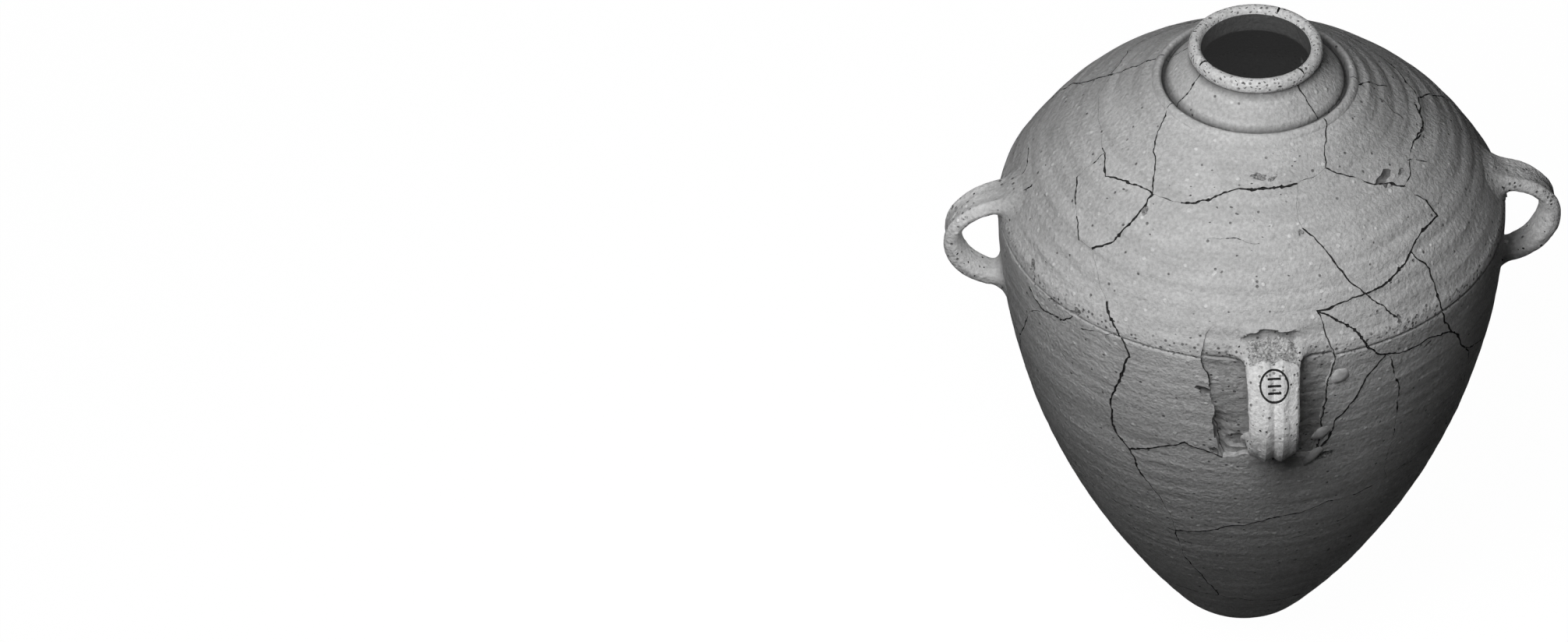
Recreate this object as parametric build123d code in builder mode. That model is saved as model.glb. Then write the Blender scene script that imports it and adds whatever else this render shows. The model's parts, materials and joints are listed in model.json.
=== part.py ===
# Four-handled storage jar with a low collar neck and a round base, mended from sherds.
# Millimetres and degrees. +Z is up and the front handle is at -Y.
# The origin is the lowest point of the round base.
import os
from math import cos, hypot, radians, sin

from build123d import *

# Body sizes; each inset is how far the belly lies inside the widest radius
wall = 8.0
body_radius = 212.0
base_round_radius = 62.0
base_round_height = 30.0
lower_belly_inset = 72.0
lower_belly_rise = 120.0
upper_belly_inset = 9.0
upper_belly_rise = 180.0
widest_rise = 94.0

# Upright band at the widest place, with a turned groove and a crisp ridge above it
band_height = 4.0
groove_height = 3.2
groove_depth = 1.5
ridge_height = 11.0
ridge_step = 2.6

# Shoulder dome: its two stations lie at a share of the way out from the lip to the ridge
shoulder_low_share = 0.69
shoulder_low_rise = 54.0
shoulder_high_share = 0.325
shoulder_high_rise = 37.0
lip_foot_radius = 86.0
lip_foot_rise = 29.0
lip_width = 11.0
lip_height = 5.0
lip_groove_depth = 3.5

# Neck and rolled rim
collar_rise = 24.0
collar_step = 22.0
mouth_radius = 45.5
rim_thickness = 10.5
rim_roll = 13.0
mouth_depth = 28.0

# Loop handles
handle_width = 40.0
handle_thickness = 15.0
handle_reach = 46.0
handle_top_rise = 19.0
handle_foot_drop = 57.0
front_handle_reach = 52.0
front_handle_foot_drop = 92.0
handle_rib_groove = 0.24
handle_root_depth = 7.0

# Oval stamp pressed into the front handle
stamp_width = 22.0
stamp_length = 27.0
stamp_line = 1.6
stamp_depth = 1.2
stamp_place = 0.3

# The sherd under the front handle has sunk into the wall
patch_sink = 4.0

# Heights and radii worked out from the sizes above
lower_belly_height = base_round_height + lower_belly_rise
upper_belly_height = lower_belly_height + upper_belly_rise
widest_height = upper_belly_height + widest_rise
seam_height = widest_height + band_height
ridge_edge_height = seam_height + ridge_height
shoulder_low_height = ridge_edge_height + shoulder_low_rise
shoulder_high_height = shoulder_low_height + shoulder_high_rise
lip_foot_height = shoulder_high_height + lip_foot_rise
lip_inner_radius = lip_foot_radius - lip_width
collar_foot_height = lip_foot_height + lip_height - lip_groove_depth
collar_top_height = collar_foot_height + collar_rise
collar_top_radius = lip_inner_radius - collar_step
rim_top_height = collar_top_height + rim_roll
rim_middle_radius = mouth_radius + rim_thickness / 2
rim_inner_height = rim_top_height - rim_roll / 2
mouth_foot_height = rim_top_height - mouth_depth

ridge_edge_radius = body_radius - ridge_step
shoulder_run = ridge_edge_radius - lip_foot_radius

# Outer stations from the base to the lip, as radius and height
stations = [
    (0.0, 0.0),
    (base_round_radius, base_round_height),
    (body_radius - lower_belly_inset, lower_belly_height),
    (body_radius - upper_belly_inset, upper_belly_height),
    (body_radius, widest_height),
    (body_radius, seam_height),
    (ridge_edge_radius, ridge_edge_height),
    (lip_foot_radius + shoulder_run * shoulder_low_share, shoulder_low_height),
    (lip_foot_radius + shoulder_run * shoulder_high_share, shoulder_high_height),
    (lip_foot_radius, lip_foot_height),
]


def radius_at(height):
    """Outer radius of the body at a height, straight between stations."""
    for (r0, z0), (r1, z1) in zip(stations, stations[1:]):
        if z0 <= height <= z1:
            return r0 + (r1 - r0) * (height - z0) / (z1 - z0)
    return lip_foot_radius


def inner_stations():
    """The same stations moved square to the wall by its thickness."""
    moved = []
    for before, here, after in zip(stations, stations[1:], stations[2:]):
        dr, dz = after[0] - before[0], after[1] - before[1]
        length = hypot(dr, dz)
        moved.append((here[0] - wall * dz / length, here[1] + wall * dr / length))
    return moved


def belly_arcs(points):
    """Arcs through the points, level on the axis and each running on from the last."""
    tangent = (1, 0)
    for start, end in zip(points, points[1:]):
        arc = TangentArc(start, end, tangent=tangent)
        tangent = arc % 1


def body_line():
    """Outer line from the foot of the base to the lip, drawn in the line that is open."""
    belly_arcs(stations[:5])
    groove_low = seam_height - groove_height / 2
    groove_high = seam_height + groove_height / 2
    Line((body_radius, widest_height), (body_radius, groove_low))
    ThreePointArc((body_radius, groove_low), (body_radius - groove_depth, seam_height), (body_radius, groove_high))
    Line((body_radius, groove_high), stations[6])
    Spline(stations[6:])


# Upright plane of the turned profile, with its seam between two handles
seam_azimuth = radians(45)
profile_plane = Plane((0, 0, 0), (cos(seam_azimuth), sin(seam_azimuth), 0), (sin(seam_azimuth), -cos(seam_azimuth), 0))

# The whole body as one filled form, which the handles are seated on
with BuildPart() as body_form:
    with BuildSketch(profile_plane):
        with BuildLine():
            body_line()
            Line(stations[-1], (0, lip_foot_height))
            Line((0, lip_foot_height), (0, 0))
        make_face()
    revolve(axis=Axis.Z)

# The whole wall from base to rim, before the breaks
with BuildPart() as jar_wall:
    with BuildSketch(profile_plane):
        with BuildLine():
            body_line()
            lip_top = (lip_foot_radius - lip_width / 2, lip_foot_height + lip_height)
            collar_foot = (lip_inner_radius, collar_foot_height)
            collar_top = (collar_top_radius, collar_top_height)
            rim_outer = (mouth_radius + rim_thickness, rim_inner_height)
            rim_top = (rim_middle_radius, rim_top_height)
            rim_inner = (mouth_radius, rim_inner_height)
            mouth_foot = (mouth_radius, mouth_foot_height)
            inner = inner_stations()
            ThreePointArc(stations[-1], lip_top, collar_foot)
            Line(collar_foot, collar_top)
            Spline(collar_top, rim_outer, rim_top, rim_inner, tangents=[(1, 0), (0, -1)])
            Line(rim_inner, mouth_foot)
            belly_arcs([(0, wall), *inner[:4]])
            Spline(*inner[3:], mouth_foot)
            Line((0, wall), (0, 0))
        make_face()
    revolve(axis=Axis.Z)

# Breaks: each point is an azimuth from the front, and a level that is 0 at the base,
# 1 at the groove under the shoulder and 2 at the lip round the neck
breaks = {
    # foot of the neck sherds, round the jar from the left front
    "n1": (-43, 1.71), "n2": (-32, 1.72), "n3": (-12, 1.82), "n4": (12, 1.83), "n5": (26, 1.86),
    "n6": (41, 1.72), "n7": (51, 1.64), "n8": (78, 1.69), "n9": (96, 1.70), "n10": (128, 1.77),
    "n11": (165, 1.71), "n12": (200, 1.80), "n13": (225, 1.72), "n14": (246, 1.78), "n15": (289, 1.72),
    "n16": (297, 1.66), "n17": (305, 1.70),
    # breaks that cross the lip and run up through the rim
    "c1": (-64, 2.0), "c2": (38, 2.0), "c3": (84, 2.0), "c4": (247, 2.0),
    # shoulder, left front
    "s1": (-44, 1.60), "s2": (-47, 1.46), "s3": (-52, 1.37), "s4": (-42, 1.17), "s5": (-37, 1.03),
    "s6": (-72, 1.57), "s7": (-57, 1.365), "s8": (-26, 1.0),
    # shoulder, right front
    "g1": (10, 1.65), "g2": (15, 1.56), "g3": (19, 1.41), "g4": (23, 1.29), "g5": (31, 1.31), "g6": (40, 1.39),
    "g7": (54, 1.45), "g8": (54, 1.54), "h1": (43, 1.26), "h2": (42, 1.04), "h3": (46, 0.93), "h4": (53, 0.85),
    # sunken patch under the front handle
    "p1": (-14, 1.27), "p2": (10, 1.26), "p3": (13, 1.0), "p4": (11, 0.865), "p5": (11, 0.815), "p6": (10, 0.735),
    "p7": (-12, 0.74), "p8": (-15, 0.93), "p9": (-17, 1.0),
    # belly, front
    "j1": (21, 1.0), "j2": (26, 0.965), "j3": (38, 0.955), "j4": (20, 0.90), "j5": (14, 0.825),
    "t1": (30, 0.875), "t2": (31, 0.79), "t3": (31, 0.68), "h5": (58, 0.75),
    "l1": (-34, 0.96), "l2": (-38, 0.865), "l3": (-40, 0.76), "l4": (-36, 0.70), "l5": (-21, 0.77),
    "l6": (-32, 0.615),
    # shoulder and belly, right, back and left
    "r1": (108, 1.45), "r2": (104, 1.15), "r3": (112, 0.95), "r4": (106, 0.80), "r5": (80, 0.77), "r6": (100, 0.68),
    "k1": (158, 1.40), "k2": (165, 1.12), "k3": (150, 1.03), "k4": (155, 0.82), "k5": (180, 0.78), "k6": (205, 0.85),
    "k7": (212, 1.10), "k8": (205, 1.45), "k9": (225, 1.0),
    "q1": (243, 1.60), "q2": (238, 1.30), "q3": (242, 1.05), "q4": (236, 0.83), "q5": (240, 0.68), "q6": (258, 0.79),
    "q7": (285, 0.80), "q8": (296, 0.93), "q9": (307, 0.97), "q10": (278, 0.68),
    # ring of breaks between belly and lower body
    "m1": (-27, 0.47), "m2": (2, 0.55), "m3": (16, 0.58), "m4": (34, 0.59), "m5": (57, 0.62), "m6": (95, 0.55),
    "m7": (130, 0.62), "m8": (165, 0.54), "m9": (200, 0.60), "m10": (235, 0.52), "m11": (270, 0.56), "m12": (300, 0.50),
    # lower body and the edge of the base sherd
    "f1": (-27, 0.42), "f2": (-22, 0.28), "f3": (52, 0.40), "f4": (172, 0.36), "f5": (262, 0.37),
    "b1": (-18, 0.205), "b2": (25, 0.17), "b3": (70, 0.20), "b4": (120, 0.165), "b5": (170, 0.20), "b6": (225, 0.17),
    "b7": (285, 0.195),
}

# Sherds by name, each as the break points round its edge; "mouth" is the middle of the opening
sherds = {
    "neck_front": "mouth c1 n1 n2 n3 n4 n5 c2",
    "neck_right": "mouth c2 n5 n6 n7 n8 c3",
    "neck_back": "mouth c3 n8 n9 n10 n11 n12 n13 n14 c4",
    "neck_left": "mouth c4 n14 n15 n16 n17 n1 c1",
    "shoulder_front": "n1 n2 n3 n4 g1 g2 g3 g4 p2 p1 p9 s8 s5 s4 s3 s2 s1",
    "shoulder_chip": "n15 n16 n17 n1 s1 s2 s3 s7 s6",
    "shoulder_front_right": "n4 n5 n6 n7 g8 g7 g6 g5 g4 g3 g2 g1",
    "shoulder_wedge": "p2 g4 g5 g6 h1 h2 h3 j3 j2 j1",
    "shoulder_right": "n7 n8 n9 r1 r2 r3 r4 r5 h4 h3 h2 h1 g6 g7 g8",
    "shoulder_back_right": "n9 n10 n11 k1 k2 k3 r3 r2 r1",
    "shoulder_back": "n11 n12 k8 k7 k6 k5 k4 k2 k1",
    "shoulder_back_left": "n12 n13 n14 q1 q2 q3 k9 k7 k8",
    "shoulder_left": "n14 n15 s6 s7 s3 s4 s5 q9 q8 q7 q6 q4 q3 q2 q1",
    "belly_sliver": "p2 j1 j2 j4 j5 p6 p5 p4 p3",
    "belly_front_left": "s5 s8 p9 p8 p7 l5 l4 l3 l2 l1",
    "belly_front": "j2 t1 t2 t3 m4 m3 m2 m1 l6 l4 l5 p7 p6 j5 j4",
    "belly_front_right": "j2 j3 h3 h4 h5 m5 m4 t3 t2 t1",
    "belly_right": "h4 r5 r4 r6 m6 m5 h5",
    "belly_back_right": "r3 k3 k2 k4 m8 m7 m6 r6 r4",
    "belly_back_left": "k7 k9 q3 q4 q5 m10 m9 m8 k4 k5 k6",
    "belly_left_back": "q4 q6 q7 q10 m11 m10 q5",
    "belly_left": "q7 q8 q9 s5 l1 l2 l3 l4 l6 m1 m12 m11 q10",
    "lower_front": "m1 m2 m3 m4 m5 f3 b3 b2 b1 f2 f1",
    "lower_right": "m5 m6 m7 m8 f4 b5 b4 b3 f3",
    "lower_back": "m8 m9 m10 m11 f5 b7 b6 b5 f4",
    "lower_left": "m11 m12 m1 f1 f2 b1 b7 f5",
    "base": "b1 b2 b3 b4 b5 b6 b7",
}
patch_outline = "p1 p2 p3 p4 p5 p6 p7 p8 p9"

# Every break runs towards one point inside the jar, so neighbours share flat faces
heart = Vector(0, 0, rim_top_height / 2)
cell_reach = 3.0


def break_point(name):
    """A break point on the outer surface."""
    if name == "mouth":
        return Vector(0, 0, rim_top_height)
    azimuth, level = breaks[name]
    height = level * seam_height
    if level > 1:
        height = seam_height + (level - 1) * (lip_foot_height - seam_height)
    radius = radius_at(height)
    return Vector(radius * sin(radians(azimuth)), -radius * cos(radians(azimuth)), height)


def break_cell(outline):
    """Faceted cone from the heart of the jar out through a sherd's outline."""
    rays = [break_point(name) - heart for name in outline.split()]
    corners = [heart + ray * cell_reach for ray in rays]
    middle = heart + sum(rays, Vector(0, 0, 0)) * (cell_reach / len(rays))
    faces = []
    for first, second in zip(corners, corners[1:] + corners[:1]):
        faces.append(Face(Wire.make_polygon([heart, first, second])))
        faces.append(Face(Wire.make_polygon([middle, second, first])))
    return Solid(Shell(faces))


os.makedirs("parts", exist_ok=True)

for name, outline in sherds.items():
    with BuildPart() as sherd:
        add(jar_wall.part)
        add(break_cell(outline), mode=Mode.INTERSECT)
    sherd.part.label = name
    export_step(sherd.part, f"parts/{name}.step")

sunk = Pos(0, patch_sink, 0)
with BuildPart() as handle_patch:
    add(sunk * jar_wall.part)
    add(break_cell(patch_outline), mode=Mode.INTERSECT)
handle_patch.part.label = "handle_patch"
export_step(handle_patch.part, "parts/handle_patch.step")

# Handle section as shares of half the width and half the thickness, ribbed on its outer side
rib_section = [
    (-1.0, 0.1), (-0.72, 0.86), (-0.36, 1.0), (0.0, 1.0 - handle_rib_groove), (0.36, 1.0), (0.72, 0.86),
    (1.0, 0.1), (0.7, -0.82), (0.0, -1.0), (-0.7, -0.82),
]
# Stations along a handle, with its width and thickness there as shares of the plain strap
handle_stations = [
    (0.0, 1.3, 1.5), (0.14, 1.08, 1.1), (0.32, 1.0, 1.0), (0.5, 0.95, 1.0), (0.7, 0.92, 1.0), (0.87, 0.98, 1.1),
    (1.0, 1.2, 1.5),
]


def handle_path(azimuth, reach, foot_drop):
    """Centre line of a handle, from its upper root round to its foot."""
    top = seam_height + handle_top_rise
    foot = seam_height - foot_drop
    drop = top - foot
    out = body_radius + reach - handle_thickness / 2
    profile = [
        (radius_at(top) - handle_root_depth, top),
        (body_radius + (out - body_radius) * 0.45, top - drop * 0.04),
        (out - handle_thickness * 0.2, top - drop * 0.27),
        (out, top - drop * 0.5),
        (out - handle_thickness * 0.7, top - drop * 0.8),
        (radius_at(foot) - handle_root_depth, foot),
    ]
    angle = radians(azimuth)
    return Spline([(r * sin(angle), -r * cos(angle), z) for r, z in profile], mode=Mode.PRIVATE)


def strap_plane(path, azimuth, place):
    """Plane across a handle: local X along the wall, local Y to the outer side."""
    along_wall = (cos(radians(azimuth)), sin(radians(azimuth)), 0)
    return Plane(origin=path @ place, x_dir=along_wall, z_dir=path % place)


handles = {
    "handle_front": (0, front_handle_reach, front_handle_foot_drop),
    "handle_right": (90, handle_reach, handle_foot_drop),
    "handle_back": (180, handle_reach, handle_foot_drop),
    "handle_left": (270, handle_reach, handle_foot_drop),
}
for name, (azimuth, reach, foot_drop) in handles.items():
    path = handle_path(azimuth, reach, foot_drop)
    seat = sunk * body_form.part if name == "handle_front" else body_form.part
    with BuildPart() as handle:
        for place, wide, thick in handle_stations:
            half_width = wide * handle_width / 2
            half_thickness = thick * handle_thickness / 2
            with BuildSketch(strap_plane(path, azimuth, place)):
                with BuildLine():
                    Spline([(x * half_width, y * half_thickness) for x, y in rib_section], periodic=True)
                make_face()
        loft()
        if name == "handle_front":
            across = strap_plane(path, azimuth, stamp_place)
            face_origin = across.origin + across.y_dir * (handle_thickness / 2)
            with BuildSketch(Plane(origin=face_origin, x_dir=across.x_dir, z_dir=across.y_dir)):
                Ellipse(stamp_width / 2, stamp_length / 2)
                Ellipse(stamp_width / 2 - stamp_line, stamp_length / 2 - stamp_line, mode=Mode.SUBTRACT)
                with GridLocations(0, stamp_length / 4, 1, 3):
                    Rectangle(stamp_width / 2, stamp_line)
            extrude(amount=-stamp_depth, mode=Mode.SUBTRACT)
        add(seat, mode=Mode.SUBTRACT)
    handle.part.label = name
    export_step(handle.part, f"parts/{name}.step")
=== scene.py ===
# %% [markdown]
# # A storage jar, mended from sherds
# The jar is thrown clay with a round base, a domed shoulder, a low collar neck and four loop handles.
# It was broken and put together again, so its wall is a set of sherds with worn cracks between them.
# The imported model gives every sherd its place. Here each one is remade with the surface of hand-made clay.

import json
import math
import random
from functools import partial

import bpy
import numpy as np
from mathutils import Matrix, Vector, kdtree, noise

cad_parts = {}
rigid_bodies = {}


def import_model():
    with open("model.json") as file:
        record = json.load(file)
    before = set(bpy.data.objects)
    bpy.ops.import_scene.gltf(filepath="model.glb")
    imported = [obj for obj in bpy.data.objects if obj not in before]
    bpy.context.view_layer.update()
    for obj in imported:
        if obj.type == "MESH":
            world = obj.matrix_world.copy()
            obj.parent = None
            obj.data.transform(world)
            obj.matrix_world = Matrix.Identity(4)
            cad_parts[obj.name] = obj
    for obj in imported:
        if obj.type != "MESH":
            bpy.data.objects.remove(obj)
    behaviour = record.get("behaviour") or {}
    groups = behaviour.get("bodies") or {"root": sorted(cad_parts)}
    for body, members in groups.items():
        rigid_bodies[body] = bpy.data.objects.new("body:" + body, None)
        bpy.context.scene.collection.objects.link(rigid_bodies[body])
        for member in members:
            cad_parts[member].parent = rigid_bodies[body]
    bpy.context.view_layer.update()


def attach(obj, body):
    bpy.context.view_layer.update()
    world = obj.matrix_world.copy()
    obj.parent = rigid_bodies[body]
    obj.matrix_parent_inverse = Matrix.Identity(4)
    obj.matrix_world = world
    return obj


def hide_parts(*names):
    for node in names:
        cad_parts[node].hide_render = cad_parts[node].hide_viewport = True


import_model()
MM = 0.001

# %% [markdown]
# ## Working by hand
# Operators act on what is selected, and the loaded frame leaves its nodes selected.
# These helpers clear the selection, pick one piece, edit it, add a new one, and cut one piece with another.

# %% Selection and cutting
def pick(piece):
    """Object mode with only this piece selected and active."""
    if bpy.context.mode != "OBJECT":
        bpy.ops.object.mode_set(mode="OBJECT")
    bpy.ops.object.select_all(action="DESELECT")
    piece.select_set(True)
    bpy.context.view_layer.objects.active = piece


def edit(piece, *steps, points=None, edges=None):
    """Runs steps in edit mode on all of a piece, or on chosen points or edges."""
    pick(piece)
    bpy.ops.object.mode_set(mode="EDIT")
    bpy.ops.mesh.select_mode(type="VERT" if edges is None else "EDGE")
    bpy.ops.mesh.select_all(action="SELECT" if points is None and edges is None else "DESELECT")
    bpy.ops.object.mode_set(mode="OBJECT")
    for i in points or ():
        piece.data.vertices[i].select = True
    for i in edges or ():
        piece.data.edges[i].select = True
    bpy.ops.object.mode_set(mode="EDIT")
    for step in steps:
        step()
    bpy.ops.object.mode_set(mode="OBJECT")


face_out = partial(bpy.ops.mesh.normals_make_consistent, inside=False)


def add_shape(make, name, **settings):
    """A new basic shape at the origin."""
    bpy.ops.object.select_all(action="DESELECT")
    make(location=(0, 0, 0), **settings)
    bpy.context.object.name = name
    return bpy.context.object


def add_object(name, data):
    """A new object in the scene for a mesh, curve, lamp or camera."""
    item = bpy.data.objects.new(name, data)
    bpy.context.scene.collection.objects.link(item)
    return item


def discard(tool):
    """Takes a used tool out of the scene."""
    mesh = tool.data
    bpy.data.objects.remove(tool)
    bpy.data.meshes.remove(mesh)


def cut(piece, tool, operation="DIFFERENCE"):
    """Cuts a piece with a closed tool, and keeps the old mesh if nothing would be left."""
    before = piece.data.copy()
    pick(piece)
    change = piece.modifiers.new("cut", "BOOLEAN")
    change.object = tool
    change.operation = operation
    change.solver = "MANIFOLD"
    bpy.ops.object.modifier_apply(modifier=change.name)
    if len(piece.data.polygons) > 3:
        bpy.data.meshes.remove(before)
        return
    print("a cut left nothing of", piece.name)
    piece.data = before


print("helpers ready")

# %% [markdown]
# ## The potter's profile
# A thrown jar is one line turned on a wheel: round base, long belly, a band with a groove and a ridge,
# the dome of the shoulder, a lip, the collar and the rolled rim. The line is drawn once, in millimetres,
# as radius and height, and every sherd takes its own stretch of it.

# %% Profile of the outside and the inside
grain = 2.1
wall = 8.0
body_radius = 212.0
ridge_edge = (209.4, 439.0)
seam_height = 428.0
groove_depth = 1.5
lip_foot = (86.0, 559.0)
shoulder_run = ridge_edge[0] - lip_foot[0]
shoulder_low = (lip_foot[0] + 0.69 * shoulder_run, 493.0)
shoulder_high = (lip_foot[0] + 0.325 * shoulder_run, 530.0)
belly_stations = [(0.0, 0.0), (62.0, 30.0), (140.0, 150.0), (203.0, 330.0), (body_radius, 424.0)]
stations = belly_stations + [(body_radius, seam_height), ridge_edge, shoulder_low, shoulder_high, lip_foot]
collar_top = (53.0, 584.5)
rim_middle = 50.75
rim_half = 5.25
rim_top = 597.5
rim_roll = 6.5
mouth_radius = 45.5
mouth_foot = 577.0


def arc_run(start, end, heading, gap):
    """Points on the arc that leaves start along heading and ends at end, and its last heading."""
    chord = np.subtract(end, start)
    length = np.hypot(*chord)
    turn = math.atan2(chord[1], chord[0]) - heading
    share = np.linspace(0, 1, max(2, round(length / gap)) + 1)
    reach = length * np.sin(turn * share) / math.sin(turn)
    bearing = heading + turn * share
    run = np.stack([start[0] + reach * np.cos(bearing), start[1] + reach * np.sin(bearing)], 1)
    return run, heading + 2 * turn


def smooth_run(points, gap):
    """Points on a smooth line through a few given points."""
    points = np.array(points, float)
    steps = np.hypot(*np.diff(points, axis=0).T)
    place = np.concatenate([[0], np.cumsum(steps)])
    count = len(points)
    system = np.eye(count)
    right = np.zeros((count, points.shape[1]))
    for i in range(1, count - 1):
        system[i, i - 1:i + 2] = steps[i - 1], 2 * (steps[i - 1] + steps[i]), steps[i]
        slope = np.diff(points[i - 1:i + 2], axis=0) / steps[i - 1:i + 1, None]
        right[i] = 6 * (slope[1] - slope[0])
    bend = np.linalg.solve(system, right)
    at = np.linspace(0, place[-1], max(3, round(place[-1] / gap)) + 1)
    i = np.clip(np.searchsorted(place, at, side="right") - 1, 0, count - 2)
    h = steps[i][:, None]
    a = (place[i + 1] - at)[:, None]
    b = (at - place[i])[:, None]
    line = bend[i] * a ** 3 / (6 * h) + bend[i + 1] * b ** 3 / (6 * h)
    line += (points[i] / h - bend[i] * h / 6) * a + (points[i + 1] / h - bend[i + 1] * h / 6) * b
    return line


runs = []
heading = 0.0
for start, end in zip(belly_stations, belly_stations[1:]):
    run, heading = arc_run(start, end, heading, grain)
    runs.append(run)
groove = [
    (body_radius - groove_depth * math.sin(math.pi * t) ** 2, seam_height - 1.8 + 3.6 * t)
    for t in np.linspace(0, 1, 9)
]
runs.append(np.array(groove))
runs.append(np.linspace((body_radius, seam_height + 3), (ridge_edge[0] + 0.5, ridge_edge[1] - 1), 6))
runs.append(smooth_run([ridge_edge, shoulder_low, shoulder_high, lip_foot], grain))
lip = [
    lip_foot, (84.2, 561.9), (81.4, 563.6), (79.0, 563.0), (77.6, 560.8), (76.6, 557.8), (75.2, 558.0),
    (74.0, 560.6),
]
runs.append(smooth_run(lip, 0.8)[1:])
runs.append(smooth_run([(73.2, 561.9), (65.0, 570.2), (57.2, 578.0), (53.2, 582.6), (51.9, 584.4)], 1.2))
roll = np.radians(np.linspace(-78, 180, 28))
runs.append(np.stack([rim_middle + rim_half * np.cos(roll), rim_top - rim_roll + rim_roll * np.sin(roll)], 1))
runs.append(np.linspace((mouth_radius, rim_top - rim_roll - 2), (mouth_radius, mouth_foot), 12))
skin = np.concatenate(runs)
far = np.hypot(*np.diff(skin, axis=0).T) > 0.05
skin = skin[np.concatenate([[True], far])]
travel = np.gradient(skin, axis=0)
travel /= np.hypot(*travel.T)[:, None]
skin_normal = np.stack([travel[:, 1], -travel[:, 0]], 1)
skin_run = np.concatenate([[0], np.cumsum(np.hypot(*np.diff(skin, axis=0).T))])
shoulder_end = int(np.argmin(np.hypot(*(skin - shoulder_high).T)))
lip_start = int(np.argmin(np.hypot(*(skin - lip_foot).T)))
inner_pick = np.arange(0, shoulder_end + 1, max(1, round(7.0 / grain)))
lining = skin[inner_pick] - wall * skin_normal[inner_pick]
lining[0] = (0.0, wall)
vault = smooth_run([lining[-1], (84.0, 549.0), (60.0, 564.0), (mouth_radius + 0.6, mouth_foot - 2)], 6.0)
lining = np.concatenate([lining, vault[1:]])
print(len(skin), "points on the outer line,", len(lining), "on the inner")

# %% [markdown]
# ## Breaks
# A break runs through the wall towards the middle of the jar, so the sherds on both sides of it fit.
# Each break point has an azimuth from the front and a level: 0 at the base, 1 at the groove, 2 at the lip.
# Between two points the break is halved again and again, each time a little aside, which is how clay tears.

# %% Break points and sherds
breaks = {
    "n1": (-43, 1.71), "n2": (-32, 1.72), "n3": (-12, 1.82), "n4": (12, 1.83), "n5": (26, 1.86),
    "n6": (41, 1.72), "n7": (51, 1.64), "n8": (78, 1.69), "n9": (96, 1.70), "n10": (128, 1.77),
    "n11": (165, 1.71), "n12": (200, 1.80), "n13": (225, 1.72), "n14": (246, 1.78), "n15": (289, 1.72),
    "n16": (297, 1.66), "n17": (305, 1.70),
    "c1": (-64, 2.0), "c2": (38, 2.0), "c3": (84, 2.0), "c4": (247, 2.0),
    "s1": (-44, 1.60), "s2": (-47, 1.46), "s3": (-52, 1.37), "s4": (-42, 1.17), "s5": (-37, 1.03),
    "s6": (-72, 1.57), "s7": (-57, 1.365), "s8": (-26, 1.0),
    "g1": (10, 1.65), "g2": (15, 1.56), "g3": (19, 1.41), "g4": (23, 1.29), "g5": (31, 1.31),
    "g6": (40, 1.39),
    "g7": (54, 1.45), "g8": (54, 1.54), "h1": (43, 1.26), "h2": (42, 1.04), "h3": (46, 0.93),
    "h4": (53, 0.85),
    "p1": (-14, 1.27), "p2": (10, 1.26), "p3": (13, 1.0), "p4": (11, 0.865), "p5": (11, 0.815),
    "p6": (10, 0.735),
    "p7": (-12, 0.74), "p8": (-15, 0.93), "p9": (-17, 1.0),
    "j1": (21, 1.0), "j2": (26, 0.965), "j3": (38, 0.955), "j4": (20, 0.90), "j5": (14, 0.825),
    "t1": (30, 0.875), "t2": (31, 0.79), "t3": (31, 0.68), "h5": (58, 0.75),
    "l1": (-34, 0.96), "l2": (-38, 0.865), "l3": (-40, 0.76), "l4": (-36, 0.70), "l5": (-21, 0.77),
    "l6": (-32, 0.615),
    "r1": (108, 1.45), "r2": (104, 1.15), "r3": (112, 0.95), "r4": (106, 0.80), "r5": (80, 0.77),
    "r6": (100, 0.68),
    "k1": (158, 1.40), "k2": (165, 1.12), "k3": (150, 1.03), "k4": (155, 0.82), "k5": (180, 0.78),
    "k6": (205, 0.85),
    "k7": (212, 1.10), "k8": (205, 1.45), "k9": (225, 1.0),
    "q1": (243, 1.60), "q2": (238, 1.30), "q3": (242, 1.05), "q4": (236, 0.83), "q5": (240, 0.68),
    "q6": (258, 0.79),
    "q7": (285, 0.80), "q8": (296, 0.93), "q9": (307, 0.97), "q10": (278, 0.68),
    "m1": (-27, 0.47), "m2": (2, 0.55), "m3": (16, 0.58), "m4": (34, 0.59), "m5": (57, 0.62),
    "m6": (95, 0.55),
    "m7": (130, 0.62), "m8": (165, 0.54), "m9": (200, 0.60), "m10": (235, 0.52), "m11": (270, 0.56),
    "m12": (300, 0.50),
    "f1": (-27, 0.42), "f2": (-22, 0.28), "f3": (52, 0.40), "f4": (172, 0.36), "f5": (262, 0.37),
    "b1": (-18, 0.205), "b2": (25, 0.17), "b3": (70, 0.20), "b4": (120, 0.165), "b5": (170, 0.20),
    "b6": (225, 0.17), "b7": (285, 0.195),
}
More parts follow.
